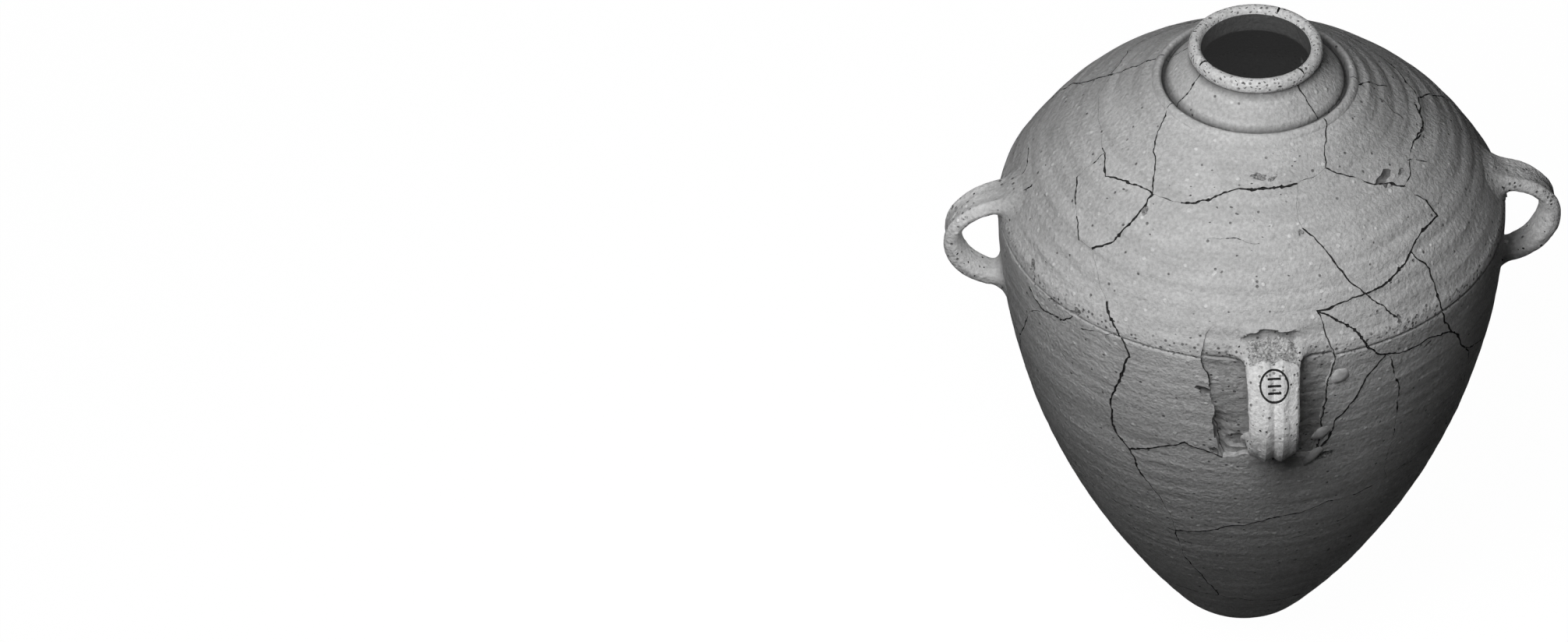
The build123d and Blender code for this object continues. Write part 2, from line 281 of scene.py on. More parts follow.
sherds = {
    "neck_front": "mouth c1 n1 n2 n3 n4 n5 c2",
    "neck_right": "mouth c2 n5 n6 n7 n8 c3",
    "neck_back": "mouth c3 n8 n9 n10 n11 n12 n13 n14 c4",
    "neck_left": "mouth c4 n14 n15 n16 n17 n1 c1",
    "shoulder_front": "n1 n2 n3 n4 g1 g2 g3 g4 p2 p1 p9 s8 s5 s4 s3 s2 s1",
    "shoulder_chip": "n15 n16 n17 n1 s1 s2 s3 s7 s6",
    "shoulder_front_right": "n4 n5 n6 n7 g8 g7 g6 g5 g4 g3 g2 g1",
    "shoulder_wedge": "p2 g4 g5 g6 h1 h2 h3 j3 j2 j1",
    "shoulder_right": "n7 n8 n9 r1 r2 r3 r4 r5 h4 h3 h2 h1 g6 g7 g8",
    "shoulder_back_right": "n9 n10 n11 k1 k2 k3 r3 r2 r1",
    "shoulder_back": "n11 n12 k8 k7 k6 k5 k4 k2 k1",
    "shoulder_back_left": "n12 n13 n14 q1 q2 q3 k9 k7 k8",
    "shoulder_left": "n14 n15 s6 s7 s3 s4 s5 q9 q8 q7 q6 q4 q3 q2 q1",
    "belly_sliver": "p2 j1 j2 j4 j5 p6 p5 p4 p3",
    "belly_front_left": "s5 s8 p9 p8 p7 l5 l4 l3 l2 l1",
    "belly_front": "j2 t1 t2 t3 m4 m3 m2 m1 l6 l4 l5 p7 p6 j5 j4",
    "belly_front_right": "j2 j3 h3 h4 h5 m5 m4 t3 t2 t1",
    "belly_right": "h4 r5 r4 r6 m6 m5 h5",
    "belly_back_right": "r3 k3 k2 k4 m8 m7 m6 r6 r4",
    "belly_back_left": "k7 k9 q3 q4 q5 m10 m9 m8 k4 k5 k6",
    "belly_left_back": "q4 q6 q7 q10 m11 m10 q5",
    "belly_left": "q7 q8 q9 s5 l1 l2 l3 l4 l6 m1 m12 m11 q10",
    "lower_front": "m1 m2 m3 m4 m5 f3 b3 b2 b1 f2 f1",
    "lower_right": "m5 m6 m7 m8 f4 b5 b4 b3 f3",
    "lower_back": "m8 m9 m10 m11 f5 b7 b6 b5 f4",
    "lower_left": "m11 m12 m1 f1 f2 b1 b7 f5",
    "base": "b1 b2 b3 b4 b5 b6 b7",
    "handle_patch": "p1 p2 p3 p4 p5 p6 p7 p8 p9",
}
print(len(sherds), "sherds with", len(breaks), "break points")

# %% Torn lines between break points
heart = Vector((0, 0, rim_top / 2))
station_radius, station_height = np.array(stations).T


def surface_place(azimuth, level):
    """A point near the surface, in millimetres, from an azimuth in degrees and a level."""
    height = level * seam_height
    if level > 1:
        height = seam_height + (level - 1) * (lip_foot[1] - seam_height)
    radius = np.interp(height, station_height, station_radius)
    angle = math.radians(azimuth)
    return Vector((radius * math.sin(angle), -radius * math.cos(angle), height))


def break_point(name):
    """Place of a named break point; the mouth is the middle of the opening."""
    if name == "mouth":
        return Vector((0, 0, rim_top))
    return surface_place(*breaks[name])


def tear(start, end, dice, shortest=4.6, swing=0.085):
    """Points from start up to end, each half thrown a little aside."""
    span = end - start
    if span.length < shortest:
        return [start]
    middle = (start + end) / 2
    aside = span.cross(middle - heart).normalized()
    middle += aside * span.length * dice.uniform(-swing, swing)
    return tear(start, middle, dice, shortest, swing) + tear(middle, end, dice, shortest, swing)


def torn_edge(first, second):
    """The torn line from one named break point to the next, the same for both neighbours."""
    low, high = sorted((first, second))
    dice = random.Random(low + high)
    start, end = break_point(low), break_point(high)
    line = tear(start, end, dice) + [end]
    if first != low:
        line.reverse()
    return line[:-1]


def torn_line(names):
    """The torn line through several named break points."""
    names = names.split()
    line = []
    for first, second in zip(names, names[1:]):
        line += torn_edge(first, second)
    return line + [break_point(names[-1])]


print("a tear of", len(torn_line("n1 s1 s2 s3")), "points runs down the left of the shoulder")

# %% [markdown]
# ## Onto the skin
# A point of a break is only near the wall. Seen from the middle of the jar, the profile climbs steadily,
# so the direction of a point gives its place on the profile, and from that the true point on the wall.

# %% From a direction to the skin
climb = np.arctan2(skin[:, 1] - heart.z, skin[:, 0])
climb = np.maximum.accumulate(climb + np.arange(len(climb)) * 1e-9)


def on_skin(place, lift=0.0):
    """The point of the outer surface behind a place, raised by lift, and the outward direction there."""
    flat = math.hypot(place.x, place.y)
    toward = math.atan2(place.z - heart.z, flat)
    index = np.interp(toward, climb, np.arange(len(climb)))
    radius, height = (np.interp(index, np.arange(len(skin)), skin[:, k]) for k in (0, 1))
    out_r, out_z = (np.interp(index, np.arange(len(skin)), skin_normal[:, k]) for k in (0, 1))
    side = Vector((place.x, place.y, 0)) / max(flat, 1e-6)
    normal = (side * float(out_r) + Vector((0, 0, float(out_z)))).normalized()
    return side * float(radius) + Vector((0, 0, float(height))) + normal * lift, normal


print("break n1 lies on the skin at", [round(v, 1) for v in on_skin(break_point("n1"))[0]])

# %% [markdown]
# ## Cracks
# Where two sherds meet, the glued break shows as a worn line painted dark with painted shade, wide in one
# place and nearly closed in another. Some more cracks stop inside a sherd. Each is a thin tube laid in the
# surface that is later cut away. A width is the full width of the crack in millimetres; the share says how
# much of its length is open.

# %% Crack lines
seam_cracks = [
    ("mouth c1 n1", 1.2, 0.7), ("n15 n16 n17 n1", 1.8, 0.9), ("n1 s1 s2 s3", 2.1, 0.95),
    ("s6 s7", 1.7, 0.6),
    ("s7 s3", 0.8, 0.3), ("n15 s6", 0.8, 0.3), ("n1 n2", 1.0, 0.35), ("n2 n3 n4", 1.9, 0.9),
    ("n4 n5", 0.8, 0.3),
    ("mouth c2 n5", 1.3, 0.7), ("n5 n6 n7", 1.5, 0.6), ("n7 n8", 1.3, 0.5), ("mouth c3 n8", 1.0, 0.4),
    ("n4 g1", 0.8, 0.3), ("g1 g2 g3 g4", 1.6, 0.8), ("g4 p2", 1.7, 0.8), ("g4 g5 g6 g7 g8", 2.1, 0.95),
    ("g8 n7", 1.3, 0.5), ("g6 h1 h2 h3 h4", 1.9, 0.9), ("p2 j1 j2 j3 h3", 1.8, 0.75),
    ("j2 j4 j5 p6", 2.0, 0.95),
    ("j2 t1 t2", 1.4, 0.5), ("t2 t3 m4", 0.9, 0.25), ("s3 s4", 0.7, 0.2), ("s4 s5 l1 l2 l3 l4", 2.0, 0.9),
    ("l4 l5 p7", 1.8, 0.85), ("l4 l6", 1.7, 0.8), ("l6 m1", 0.9, 0.3), ("m1 m2", 1.5, 0.75),
    ("m2 m3 m4", 1.3, 0.5),
    ("m4 m5", 0.9, 0.3), ("m1 f1 f2 b1", 1.2, 0.45), ("s5 s8 p9", 0.8, 0.3), ("p9 p8", 1.6, 0.7),
    ("p3 p4 p5 p6", 2.2, 0.9), ("p2 p3", 1.8, 0.8), ("s5 q9 q8 q7", 0.9, 0.35), ("h4 h5 m5", 0.9, 0.35),
    ("c4 n14 q1", 1.6, 0.7), ("mouth c4", 1.2, 0.7), ("n14 n15", 0.8, 0.3), ("b7 b1 b2 b3", 0.9, 0.35),
    ("m5 f3 b3", 0.9, 0.35), ("m11 m12 m1", 0.9, 0.35), ("h4 r5 r4 r6 m6 m5", 1.3, 0.6),
    ("n8 n9 r1 r2 r3 r4", 1.6, 0.8), ("n9 n10 n11 k1 k2 k3 r3", 1.6, 0.75),
    ("n11 n12 k8 k7 k6 k5 k4 k2", 1.7, 0.8),
    ("n12 n13 n14", 1.3, 0.6), ("q1 q2 q3 k9 k7", 1.6, 0.75), ("q3 q4 q6 q7 q10 m11", 1.5, 0.7),
    ("q4 q5 m10", 1.5, 0.7),
    ("k4 m8", 1.5, 0.7), ("m6 m7 m8 m9 m10 m11", 1.4, 0.6), ("m8 f4 b5", 1.4, 0.6), ("m11 f5 b7", 1.4, 0.6),
    ("b3 b4 b5 b6 b7", 1.3, 0.6),
]
lone_cracks = [
    ([(92, 1.73), (84, 1.70), (71, 1.71)], 1.6, 0.8), ([(81, 2.0), (93, 1.86)], 1.2, 0.7),
    ([(23, 1.31), (27, 1.20), (30, 1.11)], 1.4, 0.6), ([(-84, 1.34), (-86, 1.2), (-88, 1.06)], 1.8, 0.95),
    ([(-100, 1.33), (-92, 1.31), (-88, 1.2)], 1.0, 0.5),
    ([(-66, 0.98), (-61, 0.955), (-54, 0.965), (-50, 0.995)], 1.7, 0.9),
    ([(12, 0.97), (10, 0.87)], 1.2, 0.6), ([(-20, 1.60), (-12, 1.62), (-4, 1.60)], 0.8, 0.3),
    ([(3, 0.46), (14, 0.485), (25, 0.5)], 0.9, 0.35), ([(60, 1.70), (66, 1.63)], 1.2, 0.6),
]


def lone_line(points):
    """A torn line through loose points on the wall."""
    dice = random.Random(str(points))
    places = [surface_place(*point) for point in points]
    line = []
    for start, end in zip(places, places[1:]):
        line += tear(start, end, dice, 3.6, 0.1)
    return line + [places[-1]]


def finer(line, gap):
    """The same line with more points on its straight stretches."""
    longer = []
    for start, end in zip(line, line[1:]):
        count = max(1, math.ceil((end - start).length / gap))
        longer += [start.lerp(end, k / count) for k in range(count)]
    return longer + [line[-1]]


crack_lines = {}
for names, width, open_share in seam_cracks:
    line = finer(torn_line(names), 3.0)
    line = [place for place in line if math.hypot(place.x, place.y) > mouth_radius + 1]
    crack_lines[names] = (line, width, open_share)
for count, (points, width, open_share) in enumerate(lone_cracks):
    crack_lines[f"lone {count}"] = (finer(lone_line(points), 2.5), width, open_share)
print(len(crack_lines), "crack lines")

# %% Crack widths and the raised edges beside them
crack_tree = kdtree.KDTree(sum(len(line) for line, width, open_share in crack_lines.values()))
crack_lift = []
crack_radii = {}
for name, (line, width, open_share) in crack_lines.items():
    dice = random.Random(name)
    radii = []
    for place in line:
        drift = 0.5 + 0.5 * noise.noise(place / 17 + Vector((3, 1, 7)))
        shut = drift > open_share + 0.12
        radius = 0.56 * width * dice.uniform(0.45, 1.2) * (1.7 if dice.random() < 0.12 else 1.0)
        radii.append(0.12 if shut else radius)
        crack_tree.insert(on_skin(place)[0], len(crack_lift))
        crack_lift.append(0.0 if shut else 0.24 * width)
    crack_radii[name] = radii
crack_tree.balance()
print(len(crack_lift), "points along the cracks")

# %% [markdown]
# ## Hand-made relief
# Fingers leave shallow rings as the jar turns, and old clay is lumpy. The wall rises and falls by tenths
# of a millimetre, and stands up slightly beside a crack. The height depends on the place alone, so
# neighbours match.

# %% Relief of the clay
def ring_strength(height):
    """Height of the throwing rings: strong on the shoulder, fine on the belly, none on neck and rim."""
    if height > lip_foot[1]:
        return 0.0
    if height > ridge_edge[1]:
        return 0.55 + 0.15 * max(0.0, (height - 500) / 60)
    return 0.16


def relief(place, run):
    """How far the real clay stands over the true profile, in millimetres."""
    drawn = Vector((place.x / 42, place.y / 42, place.z / 13))
    lumps = 0.5 * noise.noise(place / 60) + 0.2 * noise.noise(drawn) + 0.1 * noise.noise(place / 9)
    if place.z > lip_foot[1]:
        lumps *= 0.55
    sway = 2.4 * noise.noise(place / 85)
    fade = 0.6 + 0.7 * noise.noise(place / 48 + Vector((9, 4, 2)))
    waves = math.sin(run / 2.9 + sway) + 0.35 * math.sin(run / 1.3 + 2 * sway)
    rings = ring_strength(place.z) * fade * waves
    near, index, distance = crack_tree.find(place)
    edge = 0.0
    if distance < 7:
        edge = crack_lift[index] * math.exp(-(distance / 2.6) ** 2) * (0.6 + noise.noise(place / 6))
    return lumps + rings + edge


def on_clay(place, lift=0.0):
    """Point of the uneven clay in the direction of a place, and the outward direction there."""
    base = on_skin(place)[0]
    toward = math.atan2(base.z - heart.z, math.hypot(base.x, base.y))
    return on_skin(place, relief(base, float(np.interp(toward, climb, skin_run))) + lift)


print("relief at the front of the shoulder:", round(relief(on_skin(break_point("g1"))[0], 560.0), 2), "mm")

# %% [markdown]
# ## Finishes
# The clay is matt and neutral grey, with soft mottling, small pale grains and pores with painted shade. The
# rim and the handles are the same clay painted lighter, a painted highlight. The inside is painted nearly
# black with painted shade and given a faint painted glow, so it shows as one flat dark grey. Broken faces are
# rough, and cracks, the collar's groove, pits and chips are painted dark with painted shade; a painted shadow
# lies under the rim.

# %% Shader helpers
def add_node(tree, kind, output, inputs, operation=None):
    """A new node with its inputs joined or set, and the output that is asked for."""
    node = tree.nodes.new("ShaderNode" + kind)
    if operation:
        node.operation = operation
    for name, value in inputs.items():
        if isinstance(value, bpy.types.NodeSocket):
            tree.links.new(value, node.inputs[name])
        else:
            node.inputs[name].default_value = value
    return node.outputs[output]


def add_noise(tree, place, scale, detail, rough=0.55):
    """A cloud of noise."""
    inputs = {"Vector": place, "Scale": scale, "Detail": detail, "Roughness": rough}
    return add_node(tree, "TexNoise", "Fac", inputs)


def add_range(tree, value, low, high, to_low, to_high):
    """Stretches a value from one range to another, and holds it there."""
    ends = {"From Min": low, "From Max": high, "To Min": to_low, "To Max": to_high}
    return add_node(tree, "MapRange", "Result", {"Value": value, **ends})


def add_math(tree, kind, first, second):
    """One sum on two values or numbers."""
    return add_node(tree, "Math", "Value", {0: first, 1: second}, kind)


def add_cells(tree, place, scale, share, size):
    """Round spots of a given size in a share of the cells of a Voronoi texture."""
    spots = tree.nodes.new("ShaderNodeTexVoronoi")
    spots.inputs["Scale"].default_value = scale
    tree.links.new(place, spots.inputs["Vector"])
    lot = add_node(tree, "SeparateXYZ", "X", {"Vector": spots.outputs["Color"]})
    chosen = add_range(tree, lot, 1 - share, 1 - 0.6 * share, 0, 1)
    disc = add_range(tree, spots.outputs["Distance"], 0.6 * size, size, 1, 0)
    return add_math(tree, "MULTIPLY", disc, chosen)


def new_finish(name, roughness):
    """An empty matt finish."""
    finish = bpy.data.materials.new(name)
    finish.use_nodes = True
    shader = finish.node_tree.nodes["Principled BSDF"]
    shader.inputs["Roughness"].default_value = roughness
    shader.inputs["Specular IOR Level"].default_value = 0.04
    return finish


def paint(tree, tone, shades, lump, strength, distance):
    """Joins a grey tone, changed by its shades, and a bump to the shader of a finish."""
    shade = shades[0]
    for factor in shades[1:]:
        shade = add_math(tree, "MULTIPLY", shade, factor)
    shader = tree.nodes["Principled BSDF"]
    colour = add_node(tree, "VectorMath", "Vector", {0: (tone, tone, tone), "Scale": shade}, "SCALE")
    tree.links.new(colour, shader.inputs["Base Color"])
    normal = add_node(tree, "Bump", "Normal", {"Strength": strength, "Distance": distance, "Height": lump})
    tree.links.new(normal, shader.inputs["Normal"])


print("shader helpers ready")

# %% Clay finish
band_low = (0.424, 0.428)
band_high = (0.437, 0.442)
# Painted shade in the collar's groove and a painted shadow under the rim, by reach and height in metres.
groove_reach = (0.0700, 0.0753, 0.0765, 0.0805)
groove_shade = 0.16
neck_start = (0.530, 0.545)
under_rim = (0.578, 0.5845)
root_reach = (0.208, 0.234)


def add_dirt(tree, height, reach):
    """Painted shade in the groove at the collar's foot and a painted shadow under the rim."""
    inner = add_range(tree, reach, *groove_reach[:2], 1, groove_shade)
    outer = add_range(tree, reach, *groove_reach[2:], groove_shade, 1)
    shaded = add_math(tree, "MAXIMUM", inner, outer)
    shaded = add_math(tree, "MAXIMUM", shaded, add_range(tree, height, *neck_start, 1, 0))
    return add_math(tree, "MULTIPLY", shaded, add_range(tree, height, *under_rim, 1, 0.3))


def clay_finish(name, tone, pore_share, streak, painted_crease_shade=False, root_shade=1.0):
    """Matt fired clay: mottled grey, wiping streaks, pale grains and pores with painted shade, most of them
    in the band.
    """
    finish = new_finish(name, 0.8)
    tree = finish.node_tree
    place = add_node(tree, "TexCoord", "Object", {})
    drawn = add_node(tree, "VectorMath", "Vector", {0: place, 1: (0.07, 0.07, 1)}, "MULTIPLY")
    flat = add_node(tree, "VectorMath", "Vector", {0: place, 1: (1, 1, 0)}, "MULTIPLY")
    reach = add_node(tree, "VectorMath", "Value", {0: flat}, "LENGTH")
    height = add_node(tree, "SeparateXYZ", "Z", {"Vector": place})
    wiped = add_noise(tree, drawn, 130, 4, 0.6)
    grains = add_cells(tree, place, scale=125, share=0.30, size=0.27)
    low = add_range(tree, height, *band_low, 0, 1)
    band = add_math(tree, "MULTIPLY", low, add_range(tree, height, *band_high, 1, 0))
    # Painted shade: pores are darkened as the shade in their hollows would darken them.
    fine_pores = add_cells(tree, place, scale=300, share=0.5, size=0.42)
    pores = add_cells(tree, place, scale=210, share=pore_share, size=0.30)
    dark = add_math(tree, "MAXIMUM", pores, add_math(tree, "MULTIPLY", band, fine_pores))
    shades = [
        add_range(tree, add_noise(tree, place, 30, 6), 0.3, 0.7, 0.94, 1.06),
        add_range(tree, wiped, 0.3, 0.7, 1 - streak, 1 + streak),
        add_range(tree, add_noise(tree, drawn, 52, 2, 0.5), 0.3, 0.7, 1 - streak, 1 + streak),
        add_range(tree, add_noise(tree, place, 330, 3, 0.6), 0.33, 0.67, 0.85, 1.15),
        add_range(tree, grains, 0, 1, 1, 1.35),
        add_range(tree, dark, 0, 1, 1, 0.36),
    ]
    # Painted shade in the collar's groove and a painted shadow under the rim.
    if painted_crease_shade:
        shades.append(add_dirt(tree, height, reach))
    # Painted shade at a handle's roots, where it meets the wall.
    if root_shade < 1:
        shades.append(add_range(tree, reach, *root_reach, root_shade, 1))
    lump = add_noise(tree, place, 210, 6, 0.66)
    parts = (("ADD", grains, 0.22), ("ADD", wiped, 4 * streak), ("SUBTRACT", dark, 0.4))
    for kind, part, strength in parts:
        lump = add_math(tree, kind, lump, add_math(tree, "MULTIPLY", part, strength))
    paint(tree, tone, shades, lump, strength=1.0, distance=0.0023)
    return finish


body_clay = clay_finish("body_clay_finish", tone=0.58, pore_share=0.06, streak=0.10, painted_crease_shade=True)
# Painted highlight: the rim is the body's clay painted lighter, standing in for the bright light on its roll.
rim_highlight_clay = clay_finish("rim_clay_finish", tone=0.79, pore_share=0.35, streak=0.04)
# Painted highlight: the handles are the body's clay painted much lighter, with painted shade at their roots.
handle_clay = clay_finish("handle_clay_painted_light_finish", tone=0.85, pore_share=0.25, streak=0.02, root_shade=0.68)
patch_clay = clay_finish("patch_clay_finish", tone=0.43, pore_share=0.35, streak=0.14)
# Painted shade and painted glow: the lining is painted nearly black, and a faint emission shows the inside as
# one flat dark grey.
lining_shade_glow = clay_finish("lining_clay_finish", tone=0.07, pore_share=0.05, streak=0.02)
lining_shader = lining_shade_glow.node_tree.nodes["Principled BSDF"]
lining_shader.inputs["Emission Color"].default_value = (1, 1, 1, 1)
lining_shader.inputs["Emission Strength"].default_value = 0.0195
print("clay finishes made")


# %% Broken faces and cracks
def rough_finish(name, tone, scale, contrast=0.4):
    """A rough surface of one grey tone, for broken, torn and filled clay and for painted shade in cracks,
    pits and chips.
    """
    finish = new_finish(name, 0.95)
    tree = finish.node_tree
    cloud = add_noise(tree, add_node(tree, "TexCoord", "Object", {}), scale, 5, 0.65)
    shade = add_range(tree, cloud, 0.3, 0.7, 1 - contrast, 1 + contrast)
    paint(tree, tone, [shade], cloud, strength=0.8, distance=0.0015)
    return finish


broken_clay = rough_finish("broken_clay_finish", 0.5, 180)
# Painted shade: cracks, rim nicks, handle pits and stamp lines are painted nearly black, as their hollows are
# shaded.
crack_shade = rough_finish("crack_dirt_finish", 0.035, 300)
torn_clay = rough_finish("torn_clay_finish", 0.42, 480, 0.9)
# Painted shade: pits and deep chips are painted dark, as their hollows are shaded.
hollow_shade = rough_finish("groove_dirt_finish", 0.15, 70, 0.7)
# Painted shade: chips are painted darker than the clay round them.
chip_shade = rough_finish("chip_clay_finish", 0.3, 600, 0.9)
filler_clay = rough_finish("filler_clay_finish", 0.56, 60)
body_slots = [body_clay, broken_clay, crack_shade, rim_highlight_clay, lining_shade_glow, hollow_shade, chip_shade, filler_clay]
patch_slots = [body_clay, broken_clay, crack_shade, patch_clay, lining_shade_glow]
handle_slots = [handle_clay, broken_clay, crack_shade]


def give_slots(piece, slots, finish=None):
    """Gives a piece its list of finishes and puts all its faces on one of them, or on the first."""
    piece.data.materials.clear()
    for each in slots:
        piece.data.materials.append(each)
    index = slots.index(finish) if finish else 0
    piece.data.polygons.foreach_set("material_index", [index] * len(piece.data.polygons))


print("rough finishes made")

# %% [markdown]
# ## A sherd
# A sherd starts as a circle of vertices that is moved onto the profile, outside and inside, and spun on
# the axis. Its open ends are filled, the outer side gets its relief, and the part inside its torn outline
# is kept. A cone whose ring follows the outline and whose tip lies in the heart of the jar does that cut.

# %% Spinning a stretch of wall
def wall_loop(low, high, neck=False):
    """Profile points round a stretch of wall, with the outward direction, run and side of each."""
    if neck:
        outer = [i for i in range(len(skin)) if i > lip_start or low <= skin[i, 1]]
    else:
        outer = [i for i in range(lip_start + 1) if low <= skin[i, 1] <= high]
    inner = [p for p in lining if low - 2 <= p[1] <= high + 2]
    rows = [(*skin[i], *skin_normal[i], skin_run[i], 1.0) for i in outer]
    rows += [(p[0], p[1], 0.0, 0.0, 0.0, 0.0) for p in reversed(inner)]
    return np.array(rows)


def spin_wall(name, loop, first, last, closed=False):
    """Spins a profile loop from one azimuth to another, and closes it."""
    piece = add_shape(bpy.ops.mesh.primitive_circle_add, name, vertices=len(loop), radius=1)
    angle = math.radians(first)
    ring = np.stack([loop[:, 0] * math.sin(angle), -loop[:, 0] * math.cos(angle), loop[:, 1]], 1) * MM
    piece.data.vertices.foreach_set("co", ring.ravel())
    span = math.radians(last - first)
    steps = max(4, round(span * loop[:, 0].max() / grain))
    if closed:
        ends = {0, len(loop) - 1}
        on_axis = [edge.index for edge in piece.data.edges if set(edge.vertices) == ends]
        edit(piece, partial(bpy.ops.mesh.delete, type="EDGE_FACE"), edges=on_axis)
    edit(piece, partial(bpy.ops.mesh.spin, steps=steps, angle=span, center=(0, 0, 0), axis=(0, 0, -1)))
    fill = [] if closed else [partial(bpy.ops.mesh.fill_holes, sides=0)]
    edit(piece, partial(bpy.ops.mesh.remove_doubles, threshold=1e-6), *fill, face_out)
    return piece


def shape_clay(piece, loop):
    """Moves the outer side of a spun wall by its relief."""
    count = len(piece.data.vertices)
    places = np.empty(count * 3)
    piece.data.vertices.foreach_get("co", places)
    places = places.reshape(-1, 3) / MM
    flat = np.hypot(places[:, 0], places[:, 1])
    nearest = np.empty(count, int)
    batch = 4000
    for start in range(0, count, batch):
        part = slice(start, start + batch)
        apart = (flat[part, None] - loop[:, 0]) ** 2 + (places[part, 2, None] - loop[:, 1]) ** 2
        nearest[part] = apart.argmin(1)
    rows = loop[nearest]
    for i in np.nonzero(rows[:, 5] > 0)[0]:
        rise = relief(Vector(places[i]), rows[i, 4])
        out = Vector((places[i, 0], places[i, 1], 0)) / max(flat[i], 1e-6) * rows[i, 2]
        places[i] += (out.x * rise, out.y * rise, rows[i, 3] * rise)
    piece.data.vertices.foreach_set("co", (places * MM).ravel())
    piece.data.update()


print("walls can be spun")


# %% Cutting cone and crack tubes
def cell_tool(outline):
    """Closed cone from the heart of the jar out through a torn outline."""
    names = outline.split()
    edge = []
    for first, second in zip(names, names[1:] + names[:1]):
        edge += torn_edge(first, second)
    tool = add_shape(
        bpy.ops.mesh.primitive_cone_add, "cell",
        vertices=len(edge), radius1=1, radius2=0, depth=1, end_fill_type="TRIFAN")
    ring = []
    for vertex in tool.data.vertices:
        if vertex.co.z > 0.4:
            vertex.co = heart * MM
        elif math.hypot(vertex.co.x, vertex.co.y) < 0.1:
            middle = vertex
        else:
            ring.append((math.atan2(vertex.co.y, vertex.co.x), vertex.index))
    far_edge = [heart + (place - heart) * 3 for place in edge]
    middle.co = sum(far_edge, Vector()) / len(far_edge) * MM
    for place, (turn, index) in zip(far_edge, sorted(ring)):
        tool.data.vertices[index].co = place * MM
    edit(tool, face_out)
    give_slots(tool, body_slots, broken_clay)
    return tool


def tube_tool(places, radii, slots, closed=False):
    """Closed tube through places in millimetres, with its own radius at each."""
    curve = bpy.data.curves.new("tube", "CURVE")
    curve.dimensions = "3D"
    curve.bevel_depth = MM
    curve.bevel_resolution = 1
    curve.use_fill_caps = True
    spline = curve.splines.new("POLY")
    spline.points.add(len(places) - 1)
    for point, place, radius in zip(spline.points, places, radii):
        point.co = (*(place * MM), 1)
        point.radius = radius
    spline.use_cyclic_u = closed
    pick(add_object("tube", curve))
    bpy.ops.object.convert(target="MESH")
    tool = bpy.context.object
    edit(tool, partial(bpy.ops.mesh.remove_doubles, threshold=1e-7), face_out)
    # The faces that a tube cuts take the crack's painted shade.
    give_slots(tool, slots, crack_shade)
    return tool


def crack_tool(name):
    """Closed tube along a crack line, as wide as the crack is at each point."""
    radii = crack_radii[name]
    places = [on_clay(place, -0.25 * radius)[0] for place, radius in zip(crack_lines[name][0], radii)]
    return tube_tool(places, radii, body_slots)


print("tools for cutting are ready")


# %% Making every sherd
side_margin = 9
height_margin = 16
neck_reach = 110


def cracks_near(outline):
    """Names of the cracks that touch a sherd's outline."""
    names = outline.split()
    edges = {frozenset(pair) for pair in zip(names, names[1:] + names[:1])}
    found = []
    for names, width, open_share in seam_cracks:
        points = names.split()
        if edges & {frozenset(pair) for pair in zip(points, points[1:])}:
            found.append(names)
    return found


def outline_range(outline):
    """Azimuths and heights that a sherd reaches, with a margin for its torn edge."""
    names = outline.split()
    heights = [break_point(name).z for name in names]
    azimuths = [breaks[name][0] for name in names if name != "mouth"]
    middle = azimuths[0]
    turned = [middle + (a - middle + 180) % 360 - 180 for a in azimuths]
    narrowest = np.interp(min(heights), station_height, station_radius)
    if "mouth" in names:
        narrowest = min(narrowest, neck_reach)
    margin = math.degrees(side_margin / narrowest)
    low, high = min(heights) - height_margin, max(heights) + height_margin
    return min(turned) - margin, max(turned) + margin, low, high


def make_sherd(name):
    """One sherd, from the spun wall to the torn outline."""
    outline = sherds[name]
    first, last, low, high = outline_range(outline)
    if name == "base":
        loop = wall_loop(-1, high)
        piece = spin_wall(name + "_sherd", loop, 0, 360, closed=True)
    else:
        loop = wall_loop(low, high, "mouth" in outline)
        piece = spin_wall(name + "_sherd", loop, first, last)
    shape_clay(piece, loop)
    give_slots(piece, body_slots)
    tool = cell_tool(outline)
    cut(piece, tool, "INTERSECT")
    discard(tool)
    return piece


sherd_pieces = {name: make_sherd(name) for name in sherds if name != "handle_patch"}
print(sum(len(p.data.polygons) for p in sherd_pieces.values()), "faces on", len(sherd_pieces), "sherds")

# %% Cutting the cracks
crack_owners = {}
for name, outline in sherds.items():
    for crack in cracks_near(outline):
        crack_owners.setdefault(crack, []).append(name)
lone_owners = [
    ["shoulder_right", "neck_right", "neck_back", "shoulder_back_right"], ["neck_right", "neck_back"],
    ["shoulder_wedge", "shoulder_front_right"], ["shoulder_left"], ["shoulder_left"],
    ["shoulder_left", "belly_left"], ["belly_sliver"], ["shoulder_front"], ["lower_front"],
    ["neck_right", "shoulder_right"],
]
for count, owners in enumerate(lone_owners):
    crack_owners[f"lone {count}"] = owners
for crack, owners in crack_owners.items():
    tool = crack_tool(crack)
    for name in owners:
        if name in sherd_pieces:
            cut(sherd_pieces[name], tool)
    discard(tool)
print(len(crack_owners), "cracks cut")

# %% [markdown]
# ## Chips, nicks and pits
# Corners of sherds have crumbled, the rim has nicks where its breaks cross it, and old clay is full of
# pits. One small ball is modelled and copied to every place, flattened to the skin, and cut away.
# Filler is added in the same way.

# %% Lumps for cutting
ball = add_shape(bpy.ops.mesh.primitive_ico_sphere_add, "ball", subdivisions=2, radius=1)
ball_points = [vertex.co.copy() for vertex in ball.data.vertices]
ball_faces = [list(face.vertices) for face in ball.data.polygons]
discard(ball)


